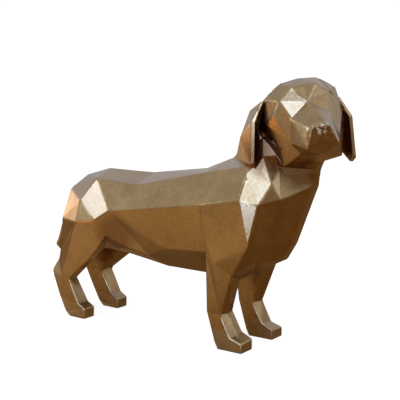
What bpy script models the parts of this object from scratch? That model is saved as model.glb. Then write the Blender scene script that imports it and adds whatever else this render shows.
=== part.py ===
"""Geometric dog ornament: one solid casting with flat facets, standing on its four paws.

Landmarks are in millimetres of a figure DRAWN_LENGTH long, each as forward, half breadth and height.
Strips of facets are lofted between lines of them. +X is the way the body faces, +Y its left, and the
origin is on the ground, under the middle of the whole figure. The body's landmarks count from midway
between its front and hind toes. The head is drawn facing forward, then turned and tilted on the neck.
"""

from math import radians

import bmesh
import bpy
from mathutils import Matrix, Vector

LENGTH = 0.3123
HEAD_TURN = radians(-46)
HEAD_TILT = radians(10)
EAR_TILT = radians(3)

DRAWN_LENGTH = 312.3
MM = LENGTH / DRAWN_LENGTH

# The middle of the whole figure's outline on the ground, from tail to muzzle and from ear to ear.
MIDDLE = Vector((8.2, 1.5, 0))

# The point between the brows, about which the head is turned and tilted.
BROW_CENTRE = Vector((134.5, -20, 199))

BODY = {
    # back and neck, along the middle
    "rump": (-126.5, 0, 113),
    "upper_rump": (-104.5, 0, 127.5),
    "croup": (-77.5, 0, 135),
    "saddle": (-40.5, 0, 134.5),
    "dip": (-26, 0, 134.5),
    "withers": (29.5, 0, 141.5),
    "nape": (55.5, 0, 151.5),
    "poll": (84, 0, 178),
    # upper edge of the sides
    "hip_top": (-73.5, 22, 128),
    "loin": (-27, 24, 125.5),
    "blade_top": (43, 22, 140.5),
    "neck_side": (77.5, 24, 147),
    "neck_high": (94, 18, 170),
    # widest line of the sides
    "seat": (-122, 17, 87.5),
    "hip_rear": (-89.5, 27, 108),
    "hip_low": (-64.5, 37, 93),
    "hip_front": (-48.5, 36, 102.5),
    "side_front": (49, 37, 116.5),
    "shoulder_point": (86.5, 39, 124),
    # flank and belly
    "groin": (-54, 33.5, 80),
    "groin_inner": (-69.5, 18, 65.5),
    "fold_low": (-33, 26, 70),
    "belly_rear": (-16, 20, 65),
    "belly_mid": (6, 27, 74.5),
    "belly_front": (50, 28, 77),
    "flank_front": (54, 33, 100),
    "keel_rear": (-57.5, 0, 59.5),
    "keel_low": (-10, 0, 53),
    "keel_front": (40, 0, 52.5),
    "brisket": (76, 0, 58.5),
    # shoulder
    "blade_rear": (50.5, 37.5, 103),
    "elbow_rear": (53, 35.5, 80),
    "elbow": (62.5, 38, 72),
    "shoulder_low": (95, 39, 87),
    "arm_front": (87, 37, 75.5),
    "arm_low": (77.5, 34, 62),
    "arm_inner": (73, 15, 55.5),
    "armpit": (48, 14, 60),
    # neck and chest
    "neck_gap": (89, 31, 144),
    "neck_front": (99.5, 25, 158),
    "neck_top": (112, 18, 157),
    "throat_top": (141, 0, 158),
    "throat_high": (138, 8, 160),
    "throat_side": (113, 22, 149.5),
    "collar": (109, 27, 136.5),
    "breast_side": (101, 34, 120),
    "breast": (114.5, 24, 124),
    "hollow": (118, 13, 139),
    "breast_low": (101.5, 20, 90.5),
    "breast_end": (93, 22, 74),
    "chest_top": (133, 5, 147),
    "chest_high": (132, 5, 134.5),
    "chest_low": (113.5, 5, 87),
    "chest_end": (105, 5, 73),
    "front_top": (133, 0, 147),
    "front_high": (132, 0, 134.5),
    "front_low": (113.5, 0, 87),
    "front_end": (105, 0, 73),
    # tail
    "tail_root_side": (-125, 6, 97),
    "tail_root_low": (-121, 0, 80),
    "tail_end_top": (-143.5, 0, 66),
    "tail_end_side": (-141.5, 4.5, 59),
    "tail_end_low": (-140, 0, 51.5),
    "tail_tip": (-148, 0, 57.5),
    # thigh
    "perineum": (-117, 0, 74),
    "crotch": (-86, 0, 64),
    "thigh_out": (-90, 33, 88.5),
    "thigh_front": (-72.5, 33, 58.5),
    "thigh_back": (-122.5, 20, 57),
    "thigh_back_low": (-122, 22, 51),
    "thigh_inner": (-119, 11, 52),
    # hind leg
    "hock_point": (-129, 24, 39.5),
    "hock_back": (-125.5, 26, 34.5),
    "hock_out": (-112, 29.5, 36),
    "hock_front": (-103, 29.5, 35),
    "hock_front_inner": (-105, 16, 34),
    "hock_inner": (-124, 16, 34),
    "shank_back": (-117, 27, 16.5),
    "shank_back_inner": (-117, 18, 16.5),
    "instep": (-92, 29.5, 13.5),
    "instep_inner": (-92, 16, 13.5),
    "heel_back": (-109.5, 28, 4),
    "heel_back_inner": (-109.5, 17.5, 4),
    "toe_top": (-84.5, 29.5, 9.5),
    "toe_top_inner": (-84.5, 16, 9.5),
    "heel": (-103.5, 29, 0),
    "heel_inner": (-103.5, 16.5, 0),
    "toe": (-85, 29.5, 0),
    "toe_inner": (-85, 16, 0),
    # front leg
    "wrist_back": (51.5, 31.5, 30),
    "wrist_out": (65, 31.5, 29),
    "wrist_front": (69, 25, 29.5),
    "wrist_inner": (66, 15, 29.5),
    "wrist_back_inner": (51.5, 15, 30),
    "ankle_back": (59, 31.5, 6),
    "ankle_out": (74.5, 31.5, 11),
    "ankle_front": (76, 24, 12),
    "ankle_inner": (75, 15, 13.5),
    "ankle_back_inner": (59, 15, 6),
    "paw_top": (85, 31.5, 8),
    "paw_top_inner": (85, 15, 9),
    "paw_heel": (62, 31.5, 0),
    "paw_heel_inner": (62, 15, 0),
    "paw_toe": (85, 31.5, 0),
    "paw_toe_inner": (85, 15, 0),
}

# A strip runs between two lines of landmarks, and its turns say which of the two moves on next.
BODY_STRIPS = (
    # back, from the middle down to the edge of the sides
    (
        "rump upper_rump croup saddle dip withers nape poll",
        "rump hip_top loin blade_top neck_side neck_high",
        "211211211212",
    ),
    # sides, from that edge to their widest line
    (
        "rump hip_top loin blade_top neck_side",
        "seat hip_rear hip_low hip_front side_front shoulder_point",
        "212212121",
    ),
    # flanks, down to the edge of the belly
    ("hip_front side_front flank_front", "groin fold_low belly_rear belly_mid belly_front", "222112"),
    ("side_front flank_front belly_front", "side_front blade_rear elbow_rear", "2121"),
    ("groin groin_inner", "fold_low", "1"),
    # belly, down to the keel
    (
        "groin_inner fold_low belly_rear belly_mid belly_front armpit arm_inner",
        "crotch keel_rear keel_low keel_front brisket",
        "2112121121",
    ),
    ("belly_front armpit", "elbow_rear", "1"),
    # shoulders
    ("side_front shoulder_point shoulder_low", "blade_rear elbow", "121"),
    ("blade_rear elbow", "elbow_rear", "1"),
    ("shoulder_low arm_front arm_low", "elbow", "11"),
    ("shoulder_point breast_side", "shoulder_low", "1"),
    # neck
    ("neck_side neck_gap neck_front", "shoulder_point breast_side collar", "1221"),
    ("neck_side neck_high neck_top", "neck_gap neck_front", "121"),
    ("neck_top throat_high", "neck_front throat_side", "21"),
    ("throat_high chest_top front_top", "throat_top", "11"),
    ("poll neck_high neck_top throat_high", "throat_top", "111"),
    # chest
    (
        "neck_front collar breast_side shoulder_low arm_front",
        "throat_side breast breast_low breast_end",
        "1212121",
    ),
    ("throat_side hollow", "breast", "1"),
    (
        "throat_high throat_side hollow breast breast_low breast_end",
        "chest_top chest_high chest_low chest_end",
        "11212121",
    ),
    ("chest_top chest_high chest_low chest_end", "front_top front_high front_low front_end", "212121"),
    ("arm_front breast_end", "arm_low", "1"),
    ("arm_low breast_end", "arm_inner", "1"),
    ("arm_inner breast_end chest_end front_end", "brisket", "111"),
    # rear and tail
    ("rump seat", "tail_root_side", "1"),
    ("tail_root_side seat perineum", "tail_root_low", "11"),
    ("rump tail_root_side tail_root_low", "tail_end_top tail_end_side tail_end_low", "1212"),
    ("tail_end_top tail_end_side tail_end_low", "tail_tip", "11"),
    # thighs
    ("hip_rear thigh_out hock_out", "seat thigh_back thigh_back_low hock_point hock_back", "122122"),
    ("hip_rear hip_low", "thigh_out", "1"),
    ("thigh_out hip_low hip_front groin", "hock_out hock_front thigh_front", "21211"),
    ("groin thigh_front hock_front", "groin_inner hock_front_inner", "121"),
    ("seat thigh_back thigh_back_low hock_point hock_back", "perineum thigh_inner hock_inner", "121121"),
    ("perineum thigh_inner hock_inner", "crotch groin_inner hock_front_inner", "1221"),
)

# A leg's rings, from the body down to the sole, with the turns of the strip below each of them.
HIND_LEG_RINGS = (
    ("hock_back hock_out hock_front hock_front_inner hock_inner", "112212112"),
    ("shank_back instep instep_inner shank_back_inner", "12121212"),
    ("heel_back toe_top toe_top_inner heel_back_inner", "12121212"),
    ("heel toe toe_inner heel_inner", ""),
)
FRONT_LEG_RINGS = (
    ("elbow_rear elbow arm_low arm_inner armpit", "2112211212"),
    ("wrist_back wrist_out wrist_front wrist_inner wrist_back_inner", "2121212121"),
    ("ankle_back ankle_out ankle_front ankle_inner ankle_back_inner", "211212112"),
    ("paw_heel paw_top paw_top_inner paw_heel_inner", "21212112"),
    ("paw_heel paw_toe paw_toe_inner paw_heel_inner", ""),
)

# The head, forward, half breadth and height from the point between the brows.
HEAD = {
    "stop": (0, 0, 0),
    "nose_top": (26, 0, -17),
    "nose_side": (26, 6, -17),
    "nose_tip": (23, 0, -26.5),
    "lip_front": (25, 12, -31.5),
    "chin_side": (21, 7, -35.5),
    "chin": (21, 0, -37),
    "brow_tip": (3, 15, -10),
    "brow_side": (-8.5, 19.5, 3.5),
    "forehead": (-5, 9.5, 11.5),
    "forehead_middle": (-6, 0, 12),
    "crown": (-20, 14, 15.5),
    "crown_middle": (-20, 0, 17),
    "temple": (-20, 21.5, 10.5),
    "skull_side": (-22, 28.5, 5),
    "skull_rear": (-40, 20, -3),
    "occiput": (-46, 0, 1),
    "cheekbone": (-10, 24.5, -6.5),
    "cheek_rear": (-18, 30.5, -12.5),
    "cheek_low": (-8, 24.5, -32.5),
    "mouth_corner": (4, 19, -27.5),
    "jaw_side": (8, 13, -36.5),
    "jaw_middle": (8, 0, -40),
    "jaw_angle": (-10, 22.5, -46),
    "ear_bed": (-35, 33.5, -17),
    "jaw_rear": (-31, 30, -41),
    "throat": (-12, 0, -49),
    "nape_low": (-43, 0, -38),
}
HEAD_STRIPS = (
    # muzzle
    ("stop brow_tip", "nose_top nose_side", "21"),
    ("nose_top nose_side lip_front chin_side chin", "nose_tip", "1111"),
    ("nose_side lip_front", "brow_tip mouth_corner", "12"),
    ("mouth_corner lip_front chin_side", "jaw_side", "11"),
    ("jaw_side chin_side", "jaw_middle chin", "12"),
    # jaw
    ("cheek_low mouth_corner jaw_side", "jaw_angle", "11"),
    ("jaw_side jaw_middle", "jaw_angle throat", "12"),
    # brows and cheeks
    ("stop brow_side", "brow_tip", "1"),
    ("brow_side cheekbone", "brow_tip mouth_corner", "21"),
    ("cheekbone cheek_rear", "mouth_corner cheek_low", "12"),
    ("brow_side skull_side", "cheekbone cheek_rear", "21"),
    # forehead and skull
    ("forehead_middle forehead brow_side", "stop", "11"),
    ("crown_middle crown temple", "forehead_middle forehead brow_side", "2121"),
    ("temple brow_side", "skull_side", "1"),
    ("occiput skull_rear", "crown_middle crown temple skull_side", "2122"),
    # back and underside
    ("skull_side skull_rear", "cheek_rear ear_bed jaw_rear", "212"),
    ("cheek_rear ear_bed jaw_rear", "cheek_low jaw_angle", "121"),
    ("occiput skull_rear jaw_rear", "nape_low", "11"),
    ("nape_low jaw_rear jaw_angle", "throat", "11"),
)

# An ear, on the same axes but hanging plumb: its front edge is folded, with a groove behind the fold.
EAR = {
    "root_rear": (-36, 36.5, -6),
    "root_front": (-20, 30, 1.5),
    "root_fold": (-19.5, 29, 0),
    "root_groove": (-23.5, 28.5, -1),
    "root_rim": (-21.5, 28.5, -2.5),
    "root_inner": (-34, 20, -8),
    "bend_rear": (-40, 44.5, -27),
    "bend_front": (-18.5, 39.5, -14),
    "bend_fold": (-17, 36.5, -14.5),
    "bend_groove": (-24.5, 35, -17),
    "bend_rim": (-22, 33.5, -18.5),
    "bend_inner": (-35, 31, -23),
    "low_rear": (-42, 48.5, -43.5),
    "low_front": (-18, 41.5, -46),
    "low_fold": (-16.5, 38.5, -45),
    "low_groove": (-25, 37, -42.5),
    "low_rim": (-19, 30.5, -40),
    "low_inner": (-34, 34.5, -42),
    "tip": (-26, 41, -50),
    "tip_front": (-20, 37, -49),
}
EAR_RINGS = (
    ("root_rear root_front root_fold root_groove root_rim root_inner", "212121212121"),
    ("bend_rear bend_front bend_fold bend_groove bend_rim bend_inner", "212121212121"),
    ("low_rear low_front low_fold low_groove low_rim low_inner", "11211121"),
    ("tip tip_front", ""),
)


def add_strip(mesh, marks, first, second, turns):
    """Lofts facets between two lines of landmarks. A turn of 1 or 2 takes the next point of that line."""
    lines = ([marks[name] for name in first.split()], [marks[name] for name in second.split()])
    at = [0, 0]
    for turn in turns:
        line = int(turn) - 1
        corners = [lines[0][at[0]], lines[1][at[1]]]
        at[line] += 1
        corners.append(lines[line][at[line]])
        if len(set(corners)) == 3:
            mesh.faces.new(corners)


def closed(ring):
    names = ring.split()
    return " ".join([*names, names[0]]) if len(names) > 1 else ring


def add_rings(mesh, marks, rings):
    """Lofts a leg or an ear from ring to ring, and closes the last one."""
    for (ring, turns), (next_ring, _) in zip(rings, rings[1:]):
        add_strip(mesh, marks, closed(ring), closed(next_ring), turns)
    last = rings[-1][0].split()
    if len(last) > 2:
        mesh.faces.new([marks[name] for name in last])


def new_mesh(landmarks):
    """An empty mesh with a point for each landmark, on the figure's right side."""
    mesh = bmesh.new()
    marks = {}
    for name, (forward, breadth, height) in landmarks.items():
        marks[name] = mesh.verts.new(Vector((forward, -breadth, height)) * MM)
    return mesh, marks


def mirrored_object(name, mesh, collection):
    """Turns half a mesh into an object, mirrored to the left side."""
    data = bpy.data.meshes.new(name)
    bmesh.ops.recalc_face_normals(mesh, faces=mesh.faces)
    mesh.to_mesh(data)
    mesh.free()
    piece = bpy.data.objects.new(name, data)
    collection.objects.link(piece)
    mirror = piece.modifiers.new("Left side", "MIRROR")
    mirror.use_axis = (False, True, False)
    mirror.merge_threshold = 0.0001 * MM
    return piece


def placed_at_the_brow(tilt):
    """Where the head and the ears go: at the brow, turned to the right and tilted a little."""
    turned = Matrix.Rotation(HEAD_TURN, 4, "Z") @ Matrix.Rotation(tilt, 4, "X")
    return Matrix.Translation((BROW_CENTRE - MIDDLE) * MM) @ turned


def make_body(collection):
    mesh, marks = new_mesh(BODY)
    for strip in BODY_STRIPS:
        add_strip(mesh, marks, *strip)
    add_rings(mesh, marks, HIND_LEG_RINGS)
    add_rings(mesh, marks, FRONT_LEG_RINGS)
    body = mirrored_object("dog", mesh, collection)
    body.location = -MIDDLE * MM
    return body


def make_head(collection):
    mesh, marks = new_mesh(HEAD)
    for strip in HEAD_STRIPS:
        add_strip(mesh, marks, *strip)
    head = mirrored_object("head", mesh, collection)
    head.matrix_world = placed_at_the_brow(HEAD_TILT)
    return head


def make_ears(collection):
    mesh, marks = new_mesh(EAR)
    add_rings(mesh, marks, EAR_RINGS)
    mesh.faces.new([marks[name] for name in EAR_RINGS[0][0].split()])
    ears = mirrored_object("ears", mesh, collection)
    ears.matrix_world = placed_at_the_brow(EAR_TILT)
    return ears


def bronze_lacquer():
    material = bpy.data.materials.new("bronze_lacquer")
    material.use_nodes = True
    shader = material.node_tree.nodes["Principled BSDF"]
    shader.inputs["Base Color"].default_value = (0.33, 0.2, 0.09, 1)
    shader.inputs["Metallic"].default_value = 0.85
    shader.inputs["Roughness"].default_value = 0.38
    return material


def new_collection(name):
    collection = bpy.data.collections.new(name)
    bpy.context.scene.collection.children.link(collection)
    return collection


for thing in list(bpy.data.objects):
    bpy.data.objects.remove(thing)

figure = new_collection("geometric_dog")
joined = new_collection("joined_to_the_body")

dog = make_body(figure)
dog.data.materials.append(bronze_lacquer())
for addition in (make_head(joined), make_ears(joined)):
    addition.hide_render = True
    addition.display_type = "WIRE"
    union = dog.modifiers.new(addition.name, "BOOLEAN")
    union.operation = "UNION"
    union.object = addition
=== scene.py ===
"""Geometric dog ornament: a low-poly casting in bronze lacquer on its four paws, on a plain pale floor."""

from math import cos, radians, sin

import bmesh
import bpy
from mathutils import Euler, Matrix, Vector
from mathutils.bvhtree import BVHTree


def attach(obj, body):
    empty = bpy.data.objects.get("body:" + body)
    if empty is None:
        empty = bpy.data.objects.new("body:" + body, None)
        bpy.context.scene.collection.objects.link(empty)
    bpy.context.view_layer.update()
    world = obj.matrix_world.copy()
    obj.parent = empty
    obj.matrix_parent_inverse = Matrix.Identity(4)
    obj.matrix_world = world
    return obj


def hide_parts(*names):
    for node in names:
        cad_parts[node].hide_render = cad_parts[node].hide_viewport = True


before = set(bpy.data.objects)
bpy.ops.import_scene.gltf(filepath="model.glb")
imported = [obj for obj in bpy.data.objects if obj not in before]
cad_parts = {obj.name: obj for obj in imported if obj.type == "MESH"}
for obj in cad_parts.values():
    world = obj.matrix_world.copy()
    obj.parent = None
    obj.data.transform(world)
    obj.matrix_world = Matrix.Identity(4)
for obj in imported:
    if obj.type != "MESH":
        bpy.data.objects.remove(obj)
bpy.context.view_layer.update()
scene = bpy.context.scene
scene.view_settings.view_transform = "Standard"

# Camera
# It stands in front of the dog and to its right, a little above the back, and looks slightly down on it
# through a long lens.
CAMERA_PLACE = Vector((0.4524, -0.6055, 0.2208))
CAMERA_AIM = Vector((0.0141, -0.0015, 0.1140))
LENS = 81
FILM_WIDTH = 36
NEAREST_SEEN = 0.02
FARTHEST_SEEN = 60

camera_data = bpy.data.cameras.new("camera")
camera_data.lens = LENS
camera_data.sensor_width = FILM_WIDTH
camera_data.clip_start = NEAREST_SEEN
camera_data.clip_end = FARTHEST_SEEN
camera = bpy.data.objects.new("camera", camera_data)
camera.location = CAMERA_PLACE
camera.rotation_euler = (CAMERA_AIM - CAMERA_PLACE).to_track_quat("-Z", "Y").to_euler()
scene.collection.objects.link(camera)
scene.camera = camera

# Casting
# One casting from head to paws, under a bronze lacquer. Its flat facets meet in ridges that the mould and
# the lacquer have softened a little, and each facet is slightly uneven from being dressed by hand.
TOUCHING = 0.00002
FLAT = radians(0.5)
SLIVER = 0.001
SHARP = radians(4)
FACET_STEP = 0.009
HALVINGS = 4
NECK_HOLLOW = Vector((0.1048, -0.0235, 0.1495))
HOLLOW_DEPTH = Vector((-0.0035, 0.0048, -0.0008))


def casting_from(node):
    """A closed copy of the solid's mesh, without slivers, its facets cut into small even triangles."""
    solid = bmesh.new()
    solid.from_mesh(node.data)
    bmesh.ops.remove_doubles(solid, verts=solid.verts, dist=TOUCHING)
    bmesh.ops.dissolve_limit(solid, angle_limit=FLAT, verts=solid.verts, edges=solid.edges)
    bmesh.ops.remove_doubles(solid, verts=solid.verts, dist=SLIVER)
    bmesh.ops.triangulate(solid, faces=solid.faces)
    hollow = min(solid.verts, key=lambda corner: (corner.co - NECK_HOLLOW).length)
    hollow.co += HOLLOW_DEPTH
    solid.normal_update()
    for edge in solid.edges:
        edge.smooth = edge.calc_face_angle(0) < SHARP
    for _ in range(HALVINGS):
        long_edges = [edge for edge in solid.edges if edge.calc_length() > FACET_STEP]
        bmesh.ops.subdivide_edges(solid, edges=long_edges, cuts=1)
        bmesh.ops.triangulate(solid, faces=solid.faces)
    mesh = bpy.data.meshes.new("casting")
    solid.to_mesh(mesh)
    solid.free()
    return mesh


UNEVEN_DEPTH = 0.00035
WAVES_PER_METRE = 34.0


def dressed_by_hand(depth, size, finish_material):
    """Moves the surface in and out a little, in slow waves."""
    tree = bpy.data.node_groups.new("dressed_by_hand", "GeometryNodeTree")
    tree.interface.new_socket("Geometry", in_out="INPUT", socket_type="NodeSocketGeometry")
    for name, value in (("Depth", depth), ("Waves per metre", size)):
        socket = tree.interface.new_socket(name, in_out="INPUT", socket_type="NodeSocketFloat")
        socket.default_value = value
    tree.interface.new_socket("Geometry", in_out="OUTPUT", socket_type="NodeSocketGeometry")
    nodes = tree.nodes
    link = tree.links.new
    given = nodes.new("NodeGroupInput")
    made = nodes.new("NodeGroupOutput")
    waves = nodes.new("ShaderNodeTexNoise")
    waves.inputs["Detail"].default_value = 1
    centred = nodes.new("ShaderNodeMath")
    centred.operation = "SUBTRACT"
    centred.inputs[1].default_value = 0.5
    lift = nodes.new("ShaderNodeMath")
    lift.operation = "MULTIPLY"
    normal = nodes.new("GeometryNodeInputNormal")
    along = nodes.new("ShaderNodeVectorMath")
    along.operation = "SCALE"
    move = nodes.new("GeometryNodeSetPosition")
    real = nodes.new("GeometryNodeRealizeInstances")
    finish = nodes.new("GeometryNodeSetMaterial")
    finish.inputs["Material"].default_value = finish_material
    link(given.outputs["Waves per metre"], waves.inputs["Scale"])
    link(waves.outputs["Fac"], centred.inputs[0])
    link(centred.outputs[0], lift.inputs[0])
    link(given.outputs["Depth"], lift.inputs[1])
    link(normal.outputs["Normal"], along.inputs[0])
    link(lift.outputs[0], along.inputs["Scale"])
    link(given.outputs["Geometry"], move.inputs["Geometry"])
    link(along.outputs["Vector"], move.inputs["Offset"])
    link(move.outputs["Geometry"], real.inputs["Geometry"])
    link(real.outputs["Geometry"], finish.inputs["Geometry"])
    link(finish.outputs["Geometry"], made.inputs["Geometry"])
    return tree


DARK_BRONZE = (0.36, 0.205, 0.062)
LIGHT_BRONZE = (0.54, 0.325, 0.11)
# Lighter bronze on the ridges: partly wear, partly a painted highlight.
WORN_AND_HIGHLIT_BRONZE = (0.72, 0.5, 0.24)
# Painted shade: the brown that recesses and hollows are darkened towards.
RECESS_SHADE_BROWN = (0.18, 0.075, 0.027)
# Silver rubbed through at the tip of the nose, and a painted highlight along the nose's upper edge.
NOSE_SILVER_AND_HIGHLIGHT = (0.85, 0.7, 0.48)
FLAKES_PER_METRE = 420
CLOUDS_PER_METRE = 70
SPECKLES_PER_METRE = 380
FLAKE_SHARE = 0.55
CLOUD_SHARE = 0.45
WORN_AND_HIGHLIT_SHARE = 0.45
# Strength of the painted shade, and the part of the recess mark over which it grows.
RECESS_SHADE_SHARE = 0.8
RECESS_SHADE_FROM = 0.12
RECESS_SHADE_FULL = 0.55
NOSE = (0.1462, -0.0371, 0.1800)
NOSE_TIP = (0.003, 0.0055)
NOSE_RIDGE_HIGHLIGHT = (0.0065, 0.0085)
NOSE_METAL = 0.3
SCUFFED_BELOW = (0.013, 0.02)
SCUFFED_ROUGHNESS = 0.25
GLOSSY = 0.25
SATIN = 0.33
LACQUER_ROUGHNESS = 0.17
RECESS_SHADE_LACQUER = 0.25
FLAKE_RELIEF = 0.0005
RELIEF_STRENGTH = 0.15


def bronze_lacquer():
    """Bronze paint full of fine metal flakes and clouded, under a clear satin lacquer. Its ridges are
    lighter, partly from rubbing and partly as a painted highlight, and its recesses carry painted shade.
    """
    material = bpy.data.materials.new("bronze_lacquer")
    material.use_nodes = True
    nodes = material.node_tree.nodes
    link = material.node_tree.links.new
    shader = nodes["Principled BSDF"]
    shader.inputs["Coat Roughness"].default_value = LACQUER_ROUGHNESS
    place = nodes.new("ShaderNodeTexCoord")

    def noise(scale, detail):
        texture = nodes.new("ShaderNodeTexNoise")
        texture.inputs["Scale"].default_value = scale
        texture.inputs["Detail"].default_value = detail
        link(place.outputs["Object"], texture.inputs["Vector"])
        return texture.outputs["Fac"]

    def spread(value, low, high, start=0.3, end=0.7):
        between = nodes.new("ShaderNodeMapRange")
        between.inputs["From Min"].default_value = start
        between.inputs["From Max"].default_value = end
        between.inputs["To Min"].default_value = low
        between.inputs["To Max"].default_value = high
        link(value, between.inputs["Value"])
        return between.outputs["Result"]

    def joined(operation, first, second):
        joint = nodes.new("ShaderNodeMath")
        joint.operation = operation
        link(first, joint.inputs[0])
        link(second, joint.inputs[1])
        return joint.outputs["Value"]

    def mixed(mask, first, second):
        mix = nodes.new("ShaderNodeMix")
        mix.data_type = "RGBA"
        link(mask, mix.inputs["Factor"])
        for name, colour in (("A", first), ("B", second)):
            if isinstance(colour, tuple):
                mix.inputs[name].default_value = (*colour, 1)
            else:
                link(colour, mix.inputs[name])
        return mix.outputs["Result"]

    def marked(name):
        mark = nodes.new("ShaderNodeAttribute")
        mark.attribute_name = name
        return mark.outputs["Fac"]

    flakes = noise(FLAKES_PER_METRE, 3)
    clouds = noise(CLOUDS_PER_METRE, 4)
    grain = joined("ADD", spread(flakes, 0, FLAKE_SHARE), spread(clouds, 0, CLOUD_SHARE))
    tone = mixed(grain, DARK_BRONZE, LIGHT_BRONZE)
    # The ridges are painted lighter: partly wear, partly a painted highlight.
    rubbed_and_highlit = mixed(spread(marked("worn_and_highlit"), 0, WORN_AND_HIGHLIT_SHARE), tone, WORN_AND_HIGHLIT_BRONZE)
    # Painted shade: the bronze darkens towards a brown in the recesses.
    painted_shade = spread(marked("painted_recess_shade"), 0, RECESS_SHADE_SHARE, RECESS_SHADE_FROM, RECESS_SHADE_FULL)
    shaded = mixed(painted_shade, rubbed_and_highlit, RECESS_SHADE_BROWN)

    from_nose = nodes.new("ShaderNodeVectorMath")
    from_nose.operation = "DISTANCE"
    from_nose.inputs[1].default_value = NOSE
    link(place.outputs["Object"], from_nose.inputs[0])
    speckle = spread(noise(SPECKLES_PER_METRE, 2), 1, 0, 0.44, 0.56)
    tip = joined("MULTIPLY", spread(from_nose.outputs["Value"], 1, 0, *NOSE_TIP), speckle)
    # A painted highlight: a silver line along the nose's upper edge.
    nose_ridge_highlight = joined("MULTIPLY", spread(from_nose.outputs["Value"], 1, 0, *NOSE_RIDGE_HIGHLIGHT), marked("worn_and_highlit"))
    nose_silver_and_highlight = joined("MAXIMUM", tip, nose_ridge_highlight)
    link(mixed(nose_silver_and_highlight, shaded, NOSE_SILVER_AND_HIGHLIGHT), shader.inputs["Base Color"])
    link(spread(nose_silver_and_highlight, 1, NOSE_METAL, 0, 1), shader.inputs["Metallic"])
    # The same painted shade thins the lacquer's sheen in the recesses.
    link(spread(painted_shade, 1, RECESS_SHADE_LACQUER, 0, 1), shader.inputs["Coat Weight"])

    height = nodes.new("ShaderNodeSeparateXYZ")
    link(place.outputs["Object"], height.inputs["Vector"])
    scuffed = spread(height.outputs["Z"], SCUFFED_ROUGHNESS, 0, *SCUFFED_BELOW)
    link(joined("ADD", spread(clouds, GLOSSY, SATIN), scuffed), shader.inputs["Roughness"])

    relief = nodes.new("ShaderNodeBump")
    relief.inputs["Strength"].default_value = RELIEF_STRENGTH
    relief.inputs["Distance"].default_value = FLAKE_RELIEF
    link(flakes, relief.inputs["Height"])
    link(relief.outputs["Normal"], shader.inputs["Normal"])
    return material


bronze = bronze_lacquer()

casting = bpy.data.objects.new("casting", casting_from(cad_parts["dog"]))
scene.collection.objects.link(casting)
dressed = casting.modifiers.new("Dressed by hand", "NODES")
dressed.node_group = dressed_by_hand(UNEVEN_DEPTH, WAVES_PER_METRE, bronze)
shaped = bpy.data.meshes.new_from_object(casting.evaluated_get(bpy.context.evaluated_depsgraph_get()))
casting.modifiers.remove(dressed)
casting.data = shaped

EDGE_ROUND = 0.001
EAR_EDGE_ROUND = 0.0005
BROW_CENTRE = Vector((0.1263, -0.0215, 0.199))
EARS_BEYOND = 0.029
EARS_ABOVE = 0.14
FULLY_WORN_AND_HIGHLIT = radians(40)


def on_an_ear(place):
    return place.z > EARS_ABOVE and (place - BROW_CENTRE).length > EARS_BEYOND


def soften(mesh, width, ear_width):
    """Rounds the ridges between facets, less on the thin ears, and marks them to be painted lighter:
    partly wear, partly a painted highlight.
    """
    solid = bmesh.new()
    solid.from_mesh(mesh)
    on_body = []
    on_ears = []
    for edge in solid.edges:
        if not edge.smooth and edge.calc_face_angle_signed(0) > 0:
            middle = (edge.verts[0].co + edge.verts[1].co) / 2
            (on_ears if on_an_ear(middle) else on_body).append(edge)
    strips = set()
    for edges, offset in ((on_body, width), (on_ears, ear_width)):
        kept = [edge for edge in edges if edge.is_valid]
        rounded = bmesh.ops.bevel(solid, geom=kept, offset=offset, segments=2, profile=0.5, affect="EDGES")
        strips.update(rounded["faces"])
    # Mark for lighter ridges, more where they bend sharply: partly wear, partly a painted highlight.
    worn_and_highlit = solid.verts.layers.float.new("worn_and_highlit")
    for corner in solid.verts:
        if all(face in strips for face in corner.link_faces):
            bends = [edge.calc_face_angle_signed(0) for edge in corner.link_edges]
            corner[worn_and_highlit] = min(1, max(0, *bends) / FULLY_WORN_AND_HIGHLIT)
    solid.to_mesh(mesh)
    solid.free()
    mesh.shade_smooth()


RAY_RINGS = ((25, 5), (55, 9))
RAY_REACH = 0.03
RAY_START = 0.0006
PAW_HEIGHT = 0.035
LEFT_EAR_SHARE = 0.45
# Listed hollows that get extra painted shade: under the right ear, at the throat and in both groins.
SHADED_HOLLOWS = (
    (Vector((0.0939, -0.0226, 0.158)), 0.008, 0.024, 0.7),
    (Vector((0.1138, -0.0125, 0.1425)), 0.008, 0.02, 0.42),
    (Vector((-0.0535, -0.0335, 0.083)), 0.012, 0.027, 0.46),
    (Vector((-0.0535, 0.0305, 0.083)), 0.012, 0.027, 0.46),
)


def paint_recess_shade(mesh, reach):
    """
    Marks how far each point lies in the recesses, as painted shade: the material darkens the bronze there
    and thins the lacquer's sheen.

    That is the share of rays that meet the casting close by, less on the paws and on the left ear, and
    more in the hollows under the right ear, at the throat and in both groins.
    """
    corners = [corner.co.copy() for corner in mesh.vertices]
    tree = BVHTree.FromPolygons(corners, [tuple(face.vertices) for face in mesh.polygons])
    rays = []
    for tilt, count in RAY_RINGS:
        for turn in range(count):
            lean = Euler((radians(tilt), 0, radians(360 * turn / count))).to_matrix()
            rays.append(lean @ Vector((0, 0, 1)))
    painted_recess_shade = mesh.attributes.new("painted_recess_shade", "FLOAT", "POINT")
    for corner in mesh.vertices:
        upright = corner.normal.to_track_quat("Z", "Y")
        start = corner.co + corner.normal * RAY_START
        met = sum(tree.ray_cast(start, upright @ ray, reach)[0] is not None for ray in rays)
        share = met / len(rays) * min(1, max(0, corner.co.z / PAW_HEIGHT))
        if on_an_ear(corner.co) and corner.co.y > BROW_CENTRE.y:
            share *= LEFT_EAR_SHARE
        for middle, inner, outer, depth in SHADED_HOLLOWS:
            close = (outer - (corner.co - middle).length) / (outer - inner)
            share = max(share, depth * min(1, close))
        painted_recess_shade.data[corner.index].value = share


soften(casting.data, EDGE_ROUND, EAR_EDGE_ROUND)
# Paints shade into the recesses and the listed hollows.
paint_recess_shade(casting.data, RAY_REACH)

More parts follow.
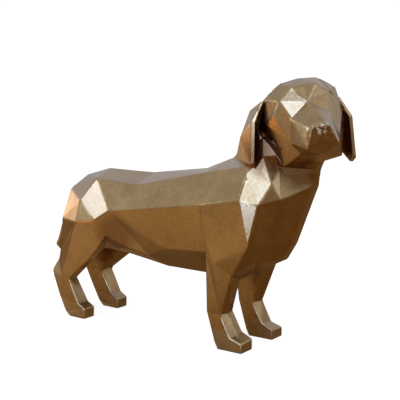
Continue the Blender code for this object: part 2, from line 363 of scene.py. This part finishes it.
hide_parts("dog")
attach(casting, "root")

# Floor
# A plain pale floor, matt, wide enough to run out of sight behind the dog. It is near white to look at.
# What the lacquer mirrors is painted light and shade that glows faintly: a tan pool of light on the dog's
# right, and brown shade elsewhere.
FLOOR_HALF = 12
FLOOR_CORNERS = ((-1, -1), (1, -1), (1, 1), (-1, 1))
SEEN_SHADE = (0.42, 0.34, 0.25, 1)
SEEN_GLOW = 0.85
# Painted light and shade, seen only in what the lacquer mirrors: a tan pool of light, brown shade around
# it, and a faint glow.
PAINTED_LIGHT_TAN = (0.56, 0.36, 0.17, 1)
PAINTED_SHADE_BROWN = (0.2, 0.1, 0.03, 1)
MIRRORED_PAINTED_GLOW = 0.27
PAINTED_LIGHT_MIDDLE = (-0.3, -0.66, 0)
PAINTED_LIGHT_WITHIN = 0.5
PAINTED_SHADE_BEYOND = 0.76

floor_mesh = bpy.data.meshes.new("floor")
floor_mesh.from_pydata([(x * FLOOR_HALF, y * FLOOR_HALF, 0) for x, y in FLOOR_CORNERS], [], [(0, 1, 2, 3)])
floor = bpy.data.objects.new("floor", floor_mesh)
scene.collection.objects.link(floor)


def pale_floor():
    """One matt finish for what is looked at, and another for what the lacquer mirrors: a faintly glowing
    painted pool of light that fades to painted shade.
    """
    material = bpy.data.materials.new("pale_floor")
    material.use_nodes = True
    nodes = material.node_tree.nodes
    link = material.node_tree.links.new
    place = nodes.new("ShaderNodeTexCoord")
    away = nodes.new("ShaderNodeVectorMath")
    away.operation = "DISTANCE"
    away.inputs[1].default_value = PAINTED_LIGHT_MIDDLE
    fade = nodes.new("ShaderNodeMapRange")
    fade.interpolation_type = "SMOOTHSTEP"
    fade.inputs["From Min"].default_value = PAINTED_LIGHT_WITHIN
    fade.inputs["From Max"].default_value = PAINTED_SHADE_BEYOND
    # Painted pool of light fading to painted shade.
    painted_light_and_shade = nodes.new("ShaderNodeMix")
    painted_light_and_shade.data_type = "RGBA"
    painted_light_and_shade.inputs["A"].default_value = PAINTED_LIGHT_TAN
    painted_light_and_shade.inputs["B"].default_value = PAINTED_SHADE_BROWN
    mirrored = nodes["Principled BSDF"]
    # The mirrored floor glows faintly with its painted light and shade.
    mirrored.inputs["Emission Strength"].default_value = MIRRORED_PAINTED_GLOW
    seen = nodes.new("ShaderNodeBsdfPrincipled")
    seen.inputs["Base Color"].default_value = SEEN_SHADE
    seen.inputs["Emission Color"].default_value = (1, 1, 1, 1)
    seen.inputs["Emission Strength"].default_value = SEEN_GLOW
    for shader in (mirrored, seen):
        shader.inputs["Roughness"].default_value = 1
        shader.inputs["Specular IOR Level"].default_value = 0
    path = nodes.new("ShaderNodeLightPath")
    either = nodes.new("ShaderNodeMixShader")
    link(place.outputs["Object"], away.inputs[0])
    link(away.outputs["Value"], fade.inputs["Value"])
    link(fade.outputs["Result"], painted_light_and_shade.inputs["Factor"])
    link(painted_light_and_shade.outputs["Result"], mirrored.inputs["Base Color"])
    link(painted_light_and_shade.outputs["Result"], mirrored.inputs["Emission Color"])
    link(path.outputs["Is Camera Ray"], either.inputs["Fac"])
    link(mirrored.outputs["BSDF"], either.inputs[1])
    link(seen.outputs["BSDF"], either.inputs[2])
    link(either.outputs["Shader"], nodes["Material Output"].inputs["Surface"])
    return material


floor_mesh.materials.append(pale_floor())

# Light
# Soft studio light: a room that is warm grey at the horizon and cooler overhead, a tall window on the
# dog's right, and four soft boxes. The two low ones, behind it and on its right, are warm.
ROOM_LOW = (0.4, 0.38, 0.36, 1)
ROOM_HIGH = (0.52, 0.56, 0.66, 1)
ROOM_HIGH_FROM = 0.5
BACKDROP_GLOW = 1.1


def studio():
    """The room's own light, from the horizon up to the ceiling. Where it is looked at, it is white."""
    world = bpy.data.worlds.new("studio")
    world.use_nodes = True
    nodes = world.node_tree.nodes
    link = world.node_tree.links.new
    room = nodes["Background"]
    backdrop = nodes.new("ShaderNodeBackground")
    backdrop.inputs["Color"].default_value = (1, 1, 1, 1)
    backdrop.inputs["Strength"].default_value = BACKDROP_GLOW
    place = nodes.new("ShaderNodeTexCoord")
    axes = nodes.new("ShaderNodeSeparateXYZ")
    height = nodes.new("ShaderNodeValToRGB")
    low, high = height.color_ramp.elements
    low.position = 0.0
    low.color = ROOM_LOW
    high.position = ROOM_HIGH_FROM
    high.color = ROOM_HIGH
    path = nodes.new("ShaderNodeLightPath")
    either = nodes.new("ShaderNodeMixShader")
    link(place.outputs["Generated"], axes.inputs["Vector"])
    link(axes.outputs["Z"], height.inputs["Fac"])
    link(height.outputs["Color"], room.inputs["Color"])
    link(path.outputs["Is Camera Ray"], either.inputs["Fac"])
    link(room.outputs["Background"], either.inputs[1])
    link(backdrop.outputs["Background"], either.inputs[2])
    link(either.outputs["Shader"], nodes["World Output"].inputs["Surface"])
    return world


LIGHTS_MIDDLE = Vector((0, 0, 0.1))
LIGHTS_AWAY = 2.5


def soft_box(name, azimuth, elevation, width, height, colour, power):
    """A soft box that faces the dog. Azimuth counts from -Y towards +X, as seen from above."""
    turn = radians(azimuth)
    rise = radians(elevation)
    away = Vector((sin(turn) * cos(rise), -cos(turn) * cos(rise), sin(rise)))
    data = bpy.data.lights.new(name, "AREA")
    data.shape = "RECTANGLE"
    data.size = width
    data.size_y = height
    data.color = colour
    data.energy = power
    box = bpy.data.objects.new(name, data)
    box.location = LIGHTS_MIDDLE + away * LIGHTS_AWAY
    box.rotation_euler = away.to_track_quat("Z", "Y").to_euler()
    scene.collection.objects.link(box)


scene.world = studio()
soft_box("window", 7.8, 33, 0.56, 3.3, (0.32, 0.51, 1), 51)
soft_box("flank_light", -63, 19, 0.42, 0.42, (0.42, 0.57, 0.9), 5.2)
soft_box("rear_light", -104, 2, 0.9, 0.3, (1, 0.64, 0.36), 1.5)
soft_box("low_light", -60, -0.5, 0.5, 0.14, (1, 0.45, 0.12), 0.8)
soft_box("front_light", 94, 34, 1.5, 2.0, (0.42, 0.6, 1), 13)
